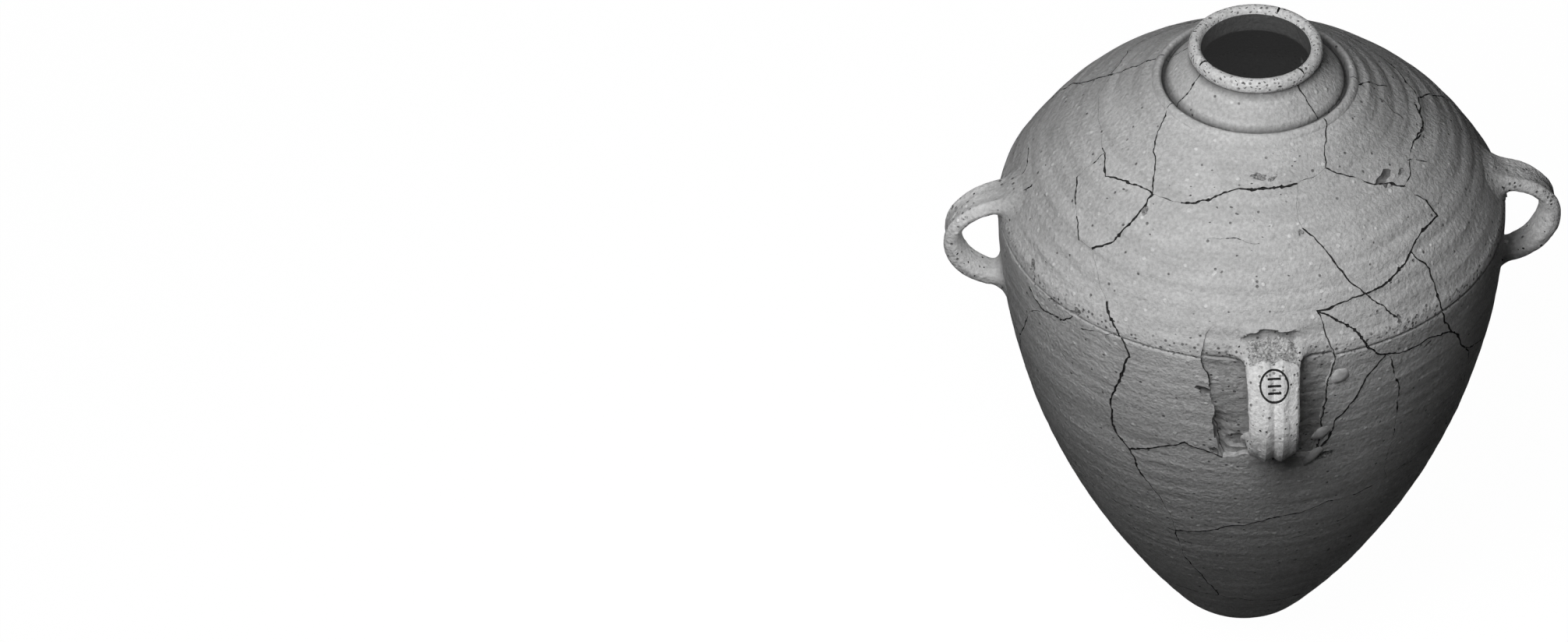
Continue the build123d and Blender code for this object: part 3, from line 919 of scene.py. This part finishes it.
def lump_tool(rows, slots, finish, wobble):
    """One tool of many flattened balls: rows of place, outward direction, three half sizes and a twist."""
    points = []
    faces = []
    for place, normal, wide, tall, deep, twist in rows:
        level = normal.cross(Vector((0, 0, 1))).normalized()
        level = Matrix.Rotation(math.radians(twist), 3, normal) @ level
        up = normal.cross(level)
        faces += [[len(points) + i for i in face] for face in ball_faces]
        for point in ball_points:
            uneven = 1 + wobble * noise.noise(point * 1.3 + place / 3)
            offset = level * point.x * wide + up * point.y * tall + normal * point.z * deep
            points.append((place + offset * uneven) * MM)
    mesh = bpy.data.meshes.new("lumps")
    mesh.from_pydata(points, [], faces)
    tool = add_object("lumps", mesh)
    give_slots(tool, slots, finish)
    return tool


def skin_rows(spots):
    """Rows for lumps that sit in the skin at an azimuth and a level."""
    return [(*on_clay(surface_place(azimuth, level)), *sizes) for azimuth, level, *sizes in spots]


print(len(ball_points), "points on a ball")

# %% Chips
chips = {
    "neck_right": [(54, 1.69, 4, 3, 1.6, 0)],
    "shoulder_right": [(54, 1.69, 5, 3, 1.6, 0)],
    "neck_front": [(-3, 1.87, 7, 3.2, 1.8, -8), (2, 1.86, 4, 2, 1.2, 20)],
    "shoulder_front": [(-43, 1.64, 4, 5, 1.6, 0), (9, 1.63, 2.5, 2.5, 1.8, 0)],
    "shoulder_wedge": [(11, 1.17, 4.5, 6, 2.6, 15), (30, 1.1, 2.6, 4, 2.2, 0)],
    "shoulder_left": [(-56, 1.0, 10, 4.5, 2.4, 8), (-66, 1.09, 6, 3, 1.6, -30), (-49, 1.03, 5, 4, 2.2, 30)],
    "belly_left": [(-50, 0.405, 8, 2.6, 1.6, -18), (-55, 0.97, 9, 3, 2, 5)],
    "belly_front": [(-31, 0.44, 7, 2, 1.3, -12), (13, 0.73, 9, 4, 2.4, 25)],
    "lower_front": [(-24, 0.43, 6, 2, 1.3, -10), (30, 0.40, 4, 2, 1.2, 0)],
    "belly_front_left": [(-14, 0.76, 5, 6, 2.4, 0)],
    "belly_front_right": [(38, 0.94, 5, 2.4, 1.8, 10), (29, 0.80, 4, 2, 1.4, 0)],
}
deep_chips = {
    "belly_front_left": [(-16.3, 0.917, 8, 3.5, 3.4, -8), (-13.2, 0.827, 3.6, 15, 6, 0)],
    "shoulder_front_right": [(46, 1.70, 9, 4.2, 3.0, 12)],
    "neck_right": [(46, 1.72, 9, 4.2, 3.0, 12)],
    "shoulder_wedge": [(10.6, 1.24, 3, 4, 4, 15)],
}
# Chips and deep chips take finishes painted dark with painted shade.
for finish, group in ((chip_shade, chips), (hollow_shade, deep_chips)):
    for name, spots in group.items():
        for row in skin_rows(spots):
            chip = lump_tool([row], body_slots, finish, wobble=1.1)
            cut(sherd_pieces[name], chip)
            discard(chip)
print(sum(len(spots) for group in (chips, deep_chips) for spots in group.values()), "chips cut")

# %% Pits in the rim and the body
dice = random.Random("pits")
nick_sizes = (1.0, 3.2, 6.8, 0)


def scatter(count, pick_row, room):
    """Rows for pits that keep clear of each other."""
    rows = []
    while len(rows) < count:
        row = pick_row()
        if all((row[0] - other[0]).length > row[2] + other[2] + room for other in rows):
            rows.append(row)
    return rows


def rim_pit():
    """One pit on the rolled rim."""
    turn = math.radians(dice.uniform(-35, 165))
    azimuth = dice.uniform(-math.pi, math.pi)
    radius = rim_middle + rim_half * math.cos(turn)
    side = Vector((math.sin(azimuth), -math.cos(azimuth), 0))
    normal = (side * math.cos(turn) + Vector((0, 0, math.sin(turn)))).normalized()
    size = dice.uniform(0.3, 0.55) if dice.random() < 0.8 else dice.uniform(0.6, 1.0)
    place = side * radius + Vector((0, 0, rim_top - rim_roll + rim_roll * math.sin(turn)))
    return place, normal, size * dice.uniform(1, 3.2), size, size, dice.gauss(0, 30)


def body_pit():
    """One pit on the shoulder or belly, mostly on the front half."""
    level = dice.uniform(0.3, 1.97)
    place, normal = on_clay(surface_place(dice.gauss(0, 55), level))
    size = dice.uniform(0.3, 0.8)
    return place, normal, size * dice.uniform(1, 2.2), size, size, dice.uniform(-25, 25)


# The pits take the hollows' painted shade.
rim_pits = lump_tool(scatter(240, rim_pit, room=0.4), body_slots, hollow_shade, wobble=0.8)
nick_rows = []
for azimuth in (-63, 40, 152):
    side = Vector((math.sin(math.radians(azimuth)), -math.cos(math.radians(azimuth)), 0))
    nick_rows.append((side * rim_middle + Vector((0, 0, rim_top - 1)), side, *nick_sizes))
# The nicks take the crack's painted shade.
rim_nicks = lump_tool(nick_rows, body_slots, crack_shade, wobble=0.5)
body_pits = lump_tool(scatter(130, body_pit, room=2.0), body_slots, hollow_shade, wobble=0.6)
for name, piece in sherd_pieces.items():
    if name.startswith("neck"):
        cut(piece, rim_pits)
        cut(piece, rim_nicks)
    if "back" not in name and name != "base":
        cut(piece, body_pits)
for tool in (rim_pits, rim_nicks, body_pits):
    discard(tool)
print("pits and nicks cut")

# %% Filler beside the patch
filler_spots = [(14.6, 0.945, 8, 8, 1.5, 0), (11.0, 0.80, 9, 6, 1.8, 40), (9.6, 0.735, 13, 5, 2.2, 55)]
for row in skin_rows(filler_spots):
    filler = lump_tool([row], body_slots, filler_clay, wobble=0.25)
    cut(sherd_pieces["belly_sliver"], filler, "UNION")
    discard(filler)
print(len(filler_spots), "lumps of filler")


# %% Rim and lining finishes
def inside_jar(centre):
    """True for a point, in metres, on the bore of the mouth or on the inner side of the wall."""
    flat = math.hypot(centre.x, centre.y) / MM
    height = centre.z / MM
    if height > mouth_foot - 3:
        return flat < mouth_radius + 1.2 and height < rim_top - rim_roll + 1
    toward = math.atan2(height - heart.z, flat)
    reach = np.interp(toward, climb, np.hypot(skin[:, 0], skin[:, 1] - heart.z))
    return reach - math.hypot(flat, height - heart.z) > 0.75 * wall


# Faces inside the jar take the lining's painted shade and glow; faces above the collar take the rim's painted
# highlight.
for piece in sherd_pieces.values():
    for face in piece.data.polygons:
        if face.material_index != 0:
            continue
        if inside_jar(face.center):
            face.material_index = body_slots.index(lining_shade_glow)
        elif face.center.z > (collar_top[1] + 1) * MM:
            face.material_index = body_slots.index(rim_highlight_clay)
print("rim and lining finishes given")

# %% [markdown]
# ## The sunken patch
# The sherd under the front handle has been pushed into the wall, more at its foot than at its top.
# Its skin is scored, the clay round the upper root is torn out, and a torn lip stands above it.

# %% Handle patch
patch_sink = 4.0
scar_middle = Vector((-4.0, 0.0, 440.0))
scar_half = (29.0, 13.0)
patch_top = 0.434


def ease(value, low, high):
    """Smooth step from 0 at low to 1 at high."""
    t = min(1.0, max(0.0, (value - low) / (high - low)))
    return t * t * (3 - 2 * t)


def scar_ring(x, z):
    """Distance from the middle of the torn scar: 1 on its edge."""
    return math.hypot((x - scar_middle.x) / scar_half[0], (z - scar_middle.z) / scar_half[1])


def patch_shift(place):
    """How far a point of the patch moves inwards, in millimetres."""
    shift = patch_sink * (1.0 - ease(place.z, 436, 458)) + 2.6 * (1 - ease(place.z, 322, 400))
    ring = scar_ring(place.x, place.z)
    ring += 0.22 * noise.noise(place / 9)
    torn = 1 - ease(ring, 0.8, 1.02)
    shift += torn * (2.6 + 2.0 * noise.noise(place / 6) + 1.1 * noise.noise(place / 2.6))
    lip_rise = math.exp(-((ring - 1.14) / 0.12) ** 2) * ease(place.z, 441, 450)
    lip_rise *= 1 - ease(abs(place.x - scar_middle.x), 16, 30)
    shift -= 6.0 * lip_rise * (0.7 + 0.6 * noise.noise(place / 10))
    shift += 6.0 * (1 - ease(place.z, 350, 376)) * (1 - ease(place.x, -47, -33))
    hollow = math.hypot((place.x + 29) / 10, (place.z - 334) / 8)
    shift += 2.4 * (1 - ease(hollow, 0.7, 1.05)) - 1.2 * math.exp(-((hollow - 1.2) / 0.14) ** 2)
    return shift


first, last, low, high = outline_range(sherds["handle_patch"])
patch_loop = wall_loop(low, high)
patch = spin_wall("handle_patch_sherd", patch_loop, first, last)
shape_clay(patch, patch_loop)
patch_skin = skin[: lip_start + 1]
for vertex in patch.data.vertices:
    place = vertex.co / MM
    mid_wall = np.interp(place.z, patch_skin[:, 1], patch_skin[:, 0]) - 0.5 * wall
    if math.hypot(place.x, place.y) > mid_wall:
        scored = 1 - ease(place.z, 424, 444)
        scores = math.sin(place.z / 0.8 + 2.2 * noise.noise(place / 14))
        place.y += scored * (0.9 * noise.noise(place / 7) + 0.7 * noise.noise(place / 3) + 0.28 * scores)
        place.y += patch_shift(place)
    else:
        place.y += patch_sink
    vertex.co = place * MM
give_slots(patch, patch_slots)
patch_cell = cell_tool(sherds["handle_patch"])
cut(patch, patch_cell, "INTERSECT")
discard(patch_cell)
# The patch's inner faces take the lining's painted shade and glow.
for face in patch.data.polygons:
    if face.material_index != 0:
        continue
    if face.normal.y > 0.2:
        face.material_index = patch_slots.index(lining_shade_glow)
    elif face.center.z < patch_top or scar_ring(face.center.x / MM, face.center.z / MM) < 0.9:
        face.material_index = patch_slots.index(patch_clay)
sherd_pieces["handle_patch"] = patch
print(len(patch.data.polygons), "faces on the patch")

# %% [markdown]
# ## Handles
# Each handle is a strap of clay that was pulled, bent and pressed onto the wall at both ends. A cylinder
# is divided into rings, each ring takes the ribbed section, and the rings are set along the bent line.
# Near the wall the strap spreads, as clay does under the potter's thumb. Last, the wall's own form is cut
# away.

# %% Form of the body for seating the handles
def body_form(name, inset):
    """The filled body as one turned solid, a little inside the skin."""
    part = slice(0, shoulder_end + 1, 4)
    rows = skin[part] - inset * skin_normal[part]
    rows[:, 0] = np.maximum(0.0, rows[:, 0])
    rows[0] = (0.0, inset)
    rows = np.append(rows, [(0.0, rows[-1, 1] - 5)], axis=0)
    return spin_wall(name, rows, 0, 360, closed=True)


seat_form = body_form("seat_form", inset=0.8)
print(len(seat_form.data.polygons), "faces on the seat form")

# %% Lines and sections of the handles
strap_sides = 72
strap_rings = 110
handle_top = 447.0
root_depth = 7


def mirrored(half):
    """A section from its right half: shares of half width and half thickness on the outer side."""
    return [(-x, high) for x, high in reversed(half)] + half


side_section = mirrored([
    (0.1, 0.80), (0.3, 0.76), (0.52, 0.84), (0.68, 0.98), (0.80, 0.90), (0.93, 0.55), (1.0, 0.05),
])
front_section = mirrored([
    (0.05, 0.52), (0.18, 0.90), (0.34, 1.02), (0.50, 0.82), (0.62, 0.58), (0.72, 0.52), (0.92, 0.30),
    (1.0, 0.0),
])


def root_radius(height):
    """Radius at which a handle's centre line starts, a little inside the wall."""
    return float(np.interp(height, station_height, station_radius)) - root_depth


def strap_line(reach, foot, thickness):
    """Centre line of a side handle as radius and height, from the upper root round to the foot."""
    drop = handle_top - foot
    out = body_radius + reach - thickness / 2
    points = [
        (root_radius(handle_top + 3), handle_top + 3),
        (body_radius + (out - body_radius) * 0.45, handle_top - drop * 0.08),
        (out - thickness * 0.2, handle_top - drop * 0.3),
        (out, handle_top - drop * 0.48),
        (out - thickness * 0.72, handle_top - drop * 0.84),
        (root_radius(foot - 8), foot - 8),
    ]
    return smooth_run(points, 1.0)


def section_point(turn, section):
    """Point of the strap's section at a turn, as shares of half width and half thickness."""
    across = -math.cos(turn)
    if math.sin(turn) >= 0:
        wide, high = np.array(section).T
        return across, float(np.interp(across, wide, high))
    return across, -0.92 * (1 - abs(across) ** 2.6) ** 0.5


def wall_gap(place, seat_back):
    """Distance of a place from the wall it is stuck to, and the wall's outward direction there."""
    place = place - seat_back
    flat = math.hypot(place.x, place.y)
    apart = (skin[: lip_start, 0] - flat) ** 2 + (skin[: lip_start, 1] - place.z) ** 2
    i = int(apart.argmin())
    gap = (flat - skin[i, 0]) * skin_normal[i, 0] + (place.z - skin[i, 1]) * skin_normal[i, 1]
    side = Vector((place.x, place.y, 0)) / flat
    return gap, (side * float(skin_normal[i, 0]) + Vector((0, 0, float(skin_normal[i, 1])))).normalized()


print(len(side_section), "points on the section of a side handle,", len(front_section), "on the front one")


# %% Strap maker
def strap_cylinder(name):
    """A cylinder divided into rings."""
    strap = add_shape(bpy.ops.mesh.primitive_cylinder_add, name, vertices=strap_sides, radius=1, depth=2)
    upright = []
    for edge in strap.data.edges:
        ends = [strap.data.vertices[i].co.z for i in edge.vertices]
        if abs(ends[0] - ends[1]) > 1:
            upright.append(edge.index)
    edit(strap, partial(bpy.ops.mesh.subdivide, number_cuts=strap_rings), edges=upright)
    return strap


def make_strap(
        name, azimuth, line, skew, width, thickness, section, fillet, rough, flare, seat_back, foot, narrow):
    """A bent strap along a line, with its ribs, spread roots and worn surface."""
    length = np.concatenate([[0], np.cumsum(np.hypot(*np.diff(line, axis=0).T))])
    strap = strap_cylinder(name)
    angle = math.radians(azimuth)
    out = Vector((math.sin(angle), -math.cos(angle), 0))
    along_wall = Vector((math.cos(angle), math.sin(angle), 0))

    def line_at(at):
        """Radius and height of the centre line at a length along it."""
        return np.array([np.interp(at, length, line[:, k]) for k in (0, 1)])

    for vertex in strap.data.vertices:
        share = (1 - vertex.co.z) / 2
        turn = math.atan2(vertex.co.y, vertex.co.x)
        at = share * length[-1]
        radius, height = line_at(at)
        ahead = line_at(at + 1) - line_at(at - 1)
        ahead /= np.hypot(*ahead)
        outer = out * float(-ahead[1]) + Vector((0, 0, float(ahead[0])))
        taper = 1.06 - narrow * share
        across, high = section_point(turn, section)
        root = min(at, length[-1] - at) - root_depth
        plain = math.exp(-max(0.0, root) / 7)
        if high > 0:
            high += plain * ((1 - abs(across) ** 3) ** 0.5 - high)
        if share < 0.5:
            taper += flare * plain
        place = out * float(radius) + Vector((0, 0, float(height)))
        swell = 1 + plain * (0.25 if share < 0.5 else foot - 1)
        askew = along_wall + out * (skew * (1 - plain))
        place += askew * (across * 0.5 * width * taper) + outer * (high * 0.5 * thickness * swell)
        aside = outer * high + along_wall * across
        gap, normal = wall_gap(place, seat_back)
        if gap < fillet:
            aside = (aside - normal * aside.dot(normal)).normalized()
            near = fillet - max(gap, 0.0)
            place += aside * (fillet - math.sqrt(max(0.0, fillet ** 2 - near ** 2)))
        worn = 0.5 * noise.noise(place / 13) + 0.3 * noise.noise(place / 5) + 0.12 * noise.noise(place / 2.2)
        worn += rough * plain * (1.2 * noise.noise(place / 8) + 0.7 * noise.noise(place / 3.5))
        place += aside.normalized() * worn
        vertex.co = place * MM
    edit(strap, face_out)
    give_slots(strap, handle_slots)
    return strap


print("a strap starts with", strap_sides, "sides and", strap_rings, "cuts")

# %% Side handles
side_strap = {
    "width": 38, "thickness": 15.5, "section": side_section, "fillet": 11.0, "rough": 0.25, "flare": 0.0,
    "seat_back": Vector(), "foot": 0.9, "narrow": 0.46,
}
side_line = strap_line(reach=46, foot=seam_height - 57, thickness=side_strap["thickness"])
straps = {}
side_places = (("handle_right", 90, -0.14), ("handle_back", 180, 0.0), ("handle_left", 270, 0.14))
for name, azimuth, skew in side_places:
    straps[name] = make_strap(name + "_strap", azimuth, side_line, skew, **side_strap)
    cut(straps[name], seat_form)
print([len(s.data.polygons) for s in straps.values()], "faces on the side handles")

# %% Front handle
front_strap = {
    "width": 42, "thickness": 16.5, "section": front_section, "fillet": 3.5, "rough": 1.0, "flare": 0.5,
    "seat_back": Vector((0, patch_sink, 0)), "foot": 1.25, "narrow": 0.16,
}
front_top = 433
front_foot = seam_height - 92
front_points = [
    (root_radius(front_top) - 4, front_top), (224, 431), (238, 412), (248, 387), (242, 360),
    (root_radius(front_foot) - 3, front_foot),
]
torn_low = 0.429
torn_front = -0.224
torn_half = 0.020
front = make_strap("handle_front_strap", -1.2, smooth_run(front_points, 1.0), 0.0, **front_strap)
for vertex in front.data.vertices:
    place = vertex.co / MM
    torn = ease(place.z, 430, 434) * (1 - ease(-place.y, 219, 226))
    torn *= 1 - ease(abs(place.x - scar_middle.x), 17, 24)
    place.z -= torn * (2.2 + 3.4 * noise.noise(place / 6) + 2.4 * noise.noise(place / 2.5))
    vertex.co = place * MM
for face in front.data.polygons:
    middle = face.center
    near_scar = middle.y > torn_front and abs(middle.x - scar_middle.x * MM) < torn_half
    if near_scar and middle.z > torn_low and face.normal.z > 0.1:
        face.material_index = len(handle_slots)
front.data.materials.append(torn_clay)
seat_form.data.transform(Matrix.Translation((0, patch_sink * MM, 0)))
cut(front, seat_form)
straps["handle_front"] = front
discard(seat_form)
print(len(front.data.polygons), "faces on the front handle")

# %% Pits in the handles
pits_each = 46
pit_room = 3.2
for name, strap in straps.items():
    dice = random.Random(name)
    normals = [vertex.normal.copy() for vertex in strap.data.vertices]
    rows = []
    while len(rows) < pits_each:
        i = dice.randrange(len(normals))
        place = strap.data.vertices[i].co / MM
        size = dice.uniform(0.35, 0.9)
        if all((place - other[0]).length > pit_room for other in rows):
            rows.append((place, normals[i], size * dice.uniform(1, 1.8), size, size, dice.uniform(0, 180)))
    # The pits take the crack's painted shade.
    pits = lump_tool(rows, handle_slots, crack_shade, wobble=0.3)
    cut(strap, pits)
    discard(pits)
print("handles pitted")

# %% [markdown]
# ## Stamp
# A seal was pressed into the bend of the front handle while the clay was soft. A plain oval with three bars
# stands here. Its lines are thin tubes that lie on the strap and are cut into it.

# %% Stamp on the front handle
stamp_middle = Vector((-5, -238.5, 424))
stamp_out = Vector((0, -0.80, 0.60))
stamp_up = Vector((0, 0.60, 0.80))
stamp_line = 1.05
oval = [(11.5 * math.sin(t), 13.5 * math.cos(t)) for t in np.linspace(0, 2 * math.pi, 40, endpoint=False)]
bars = [[(x, y) for x in np.linspace(-5.5, 5.5, 8)] for y in (-6, 0, 6)]
# The stamp's lines take the crack's painted shade.
for drawn in (oval, *bars):
    places = []
    for x, y in drawn:
        start = (stamp_middle + stamp_out * 40 + Vector((x, 0, 0)) + stamp_up * y) * MM
        hit, point, normal, index = front.ray_cast(start, -stamp_out)
        if hit:
            places.append(point / MM)
    if len(places) > 3:
        line_tool = tube_tool(places, [stamp_line] * len(places), handle_slots, closed=drawn is oval)
        cut(front, line_tool)
        discard(line_tool)
print(len(front.data.polygons), "faces on the stamped handle")

# %% [markdown]
# ## Joining the frame
# Crumbs that the cuts left loose are swept away first. Then each piece moves with the jar and stands for
# its own imported node. Smooth shading stops at sharp edges, so cracks stay crisp.

# %% Sweeping away crumbs
weld = 4e-6


def sweep(piece):
    """Welds points that lie together, drops points that only divide an edge, and keeps the main part."""
    before = len(piece.data.polygons)
    select_all = bpy.ops.mesh.select_all
    edit(
        piece, partial(bpy.ops.mesh.remove_doubles, threshold=weld), partial(select_all, action="SELECT"),
        partial(bpy.ops.mesh.dissolve_degenerate, threshold=weld))
    ends = np.empty(2 * len(piece.data.edges), int)
    piece.data.edges.foreach_get("vertices", ends)
    uses = np.bincount(ends, minlength=len(piece.data.vertices))
    edit(piece, bpy.ops.mesh.dissolve_verts, points=np.nonzero(uses == 2)[0].tolist())
    largest = max(piece.data.polygons, key=lambda face: face.area)
    edit(
        piece, bpy.ops.mesh.select_linked, partial(select_all, action="INVERT"),
        partial(bpy.ops.mesh.delete, type="VERT"), points=list(largest.vertices))
    return before - len(piece.data.polygons)


swept = {name: sweep(piece) for group in (sherd_pieces, straps) for name, piece in group.items()}
print("faces swept away:", swept)

# %% Ride, replace and shade
sharp_angle = math.radians(38)
for group, slot in ((sherd_pieces, "body_clay"), (straps, "handle_clay")):
    for node, piece in group.items():
        pick(piece)
        bpy.ops.object.shade_smooth_by_angle(angle=sharp_angle)
        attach(piece, "root")
        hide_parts(node)
print(len(sherd_pieces) + len(straps), "pieces stand for the packed nodes")

# %% [markdown]
# ## Floor, light and camera
# The photo has a plain white ground and one soft light from the upper left, so a near softbox stands
# there. A weak light behind the jar keeps its back in view. The floor looks white to the camera, keeps a
# faint shadow, and throws little light back onto the jar.

# %% Floor and world
floor_height = -0.0008
floor = add_shape(bpy.ops.mesh.primitive_grid_add, "floor", x_subdivisions=4, y_subdivisions=4, size=8)
floor.data.transform(Matrix.Translation((0, 0, floor_height)))
floor_paint = bpy.data.materials.new("floor_paint")
floor_paint.use_nodes = True
tree = floor_paint.node_tree
tree.nodes.clear()
seen = tree.nodes.new("ShaderNodeLightPath").outputs
clear_view = add_math(tree, "MAXIMUM", seen["Is Camera Ray"], seen["Is Glossy Ray"])
strength = add_math(tree, "MULTIPLY", clear_view, 0.985)
glow = add_node(tree, "Emission", "Emission", {"Color": (1, 1, 1, 1), "Strength": strength})
pale = add_node(tree, "BsdfDiffuse", "BSDF", {"Color": (0.05, 0.05, 0.05, 1)})
both = add_node(tree, "AddShader", "Shader", {0: pale, 1: glow})
tree.links.new(both, tree.nodes.new("ShaderNodeOutputMaterial").inputs["Surface"])
floor.data.materials.append(floor_paint)
world = bpy.data.worlds.new("studio")
bpy.context.scene.world = world
world.use_nodes = True
tree = world.node_tree
sky = tree.nodes["Background"].inputs
sky["Color"].default_value = (1, 1, 1, 1)
seen = add_node(tree, "LightPath", "Is Camera Ray", {})
tree.links.new(add_range(tree, seen, 0, 1, 0.012, 1), sky["Strength"])
print("floor and world set")


# %% Light
def aim(item, target, roll=0.0):
    """Turns a lamp or camera to a target, with a roll round its own axis."""
    look = (item.location - target).to_track_quat("Z", "Y").to_matrix().to_4x4()
    item.rotation_euler = (look @ Matrix.Rotation(roll, 4, "Z")).to_euler()


def bearing(azimuth, elevation, distance, target):
    """Point at an azimuth from the front and an elevation, seen from a target."""
    a, e = math.radians(azimuth), math.radians(elevation)
    return target + Vector((math.sin(a) * math.cos(e), -math.cos(a) * math.cos(e), math.sin(e))) * distance


def add_light(name, size, strength, azimuth, elevation, distance, target):
    """A round softbox that faces a target and stays out of view."""
    light = bpy.data.lights.new(name, "AREA")
    light.shape = "DISK"
    light.size = size
    light.energy = math.pi ** 2 * distance ** 2 * strength
    lamp = add_object(name, light)
    lamp.visible_camera = False
    lamp.location = bearing(azimuth, elevation, distance, target)
    aim(lamp, target)
    return light.energy


jar_middle = Vector((0, 0, 0.3139))
key_target = Vector((0.041, -0.15, 0.427))
key_power = add_light(
    "key", size=0.75, strength=0.9, azimuth=-31, elevation=50.7, distance=1.09, target=key_target)
back_power = add_light(
    "back", size=1.5, strength=0.14, azimuth=197, elevation=14, distance=2.6, target=jar_middle)
print("key light of", round(key_power), "W, back light of", round(back_power), "W")

# %% Camera
camera_distance = 10.35
camera_roll = math.radians(1.42)
photo_width = 2012
photo_height = 824
pixels_per_mm = 1.5257
axis_pixel = (1603.1, 398.5)
camera_data = bpy.data.cameras.new("camera")
camera_data.sensor_width = 36
camera_data.lens = pixels_per_mm * camera_distance * 1000 * 36 / photo_width
camera_data.shift_x = -(axis_pixel[0] - photo_width / 2) / photo_width
camera_data.shift_y = (axis_pixel[1] - photo_height / 2) / photo_width
camera_data.clip_end = 100
camera = add_object("camera", camera_data)
camera.location = bearing(-6.5, 38.5, camera_distance, jar_middle)
aim(camera, jar_middle, camera_roll)
bpy.context.scene.camera = camera
bpy.context.scene.view_settings.view_transform = "Standard"
shift = (round(camera_data.shift_x, 4), round(camera_data.shift_y, 4))
print("lens", round(camera_data.lens, 1), "mm, shift", *shift)
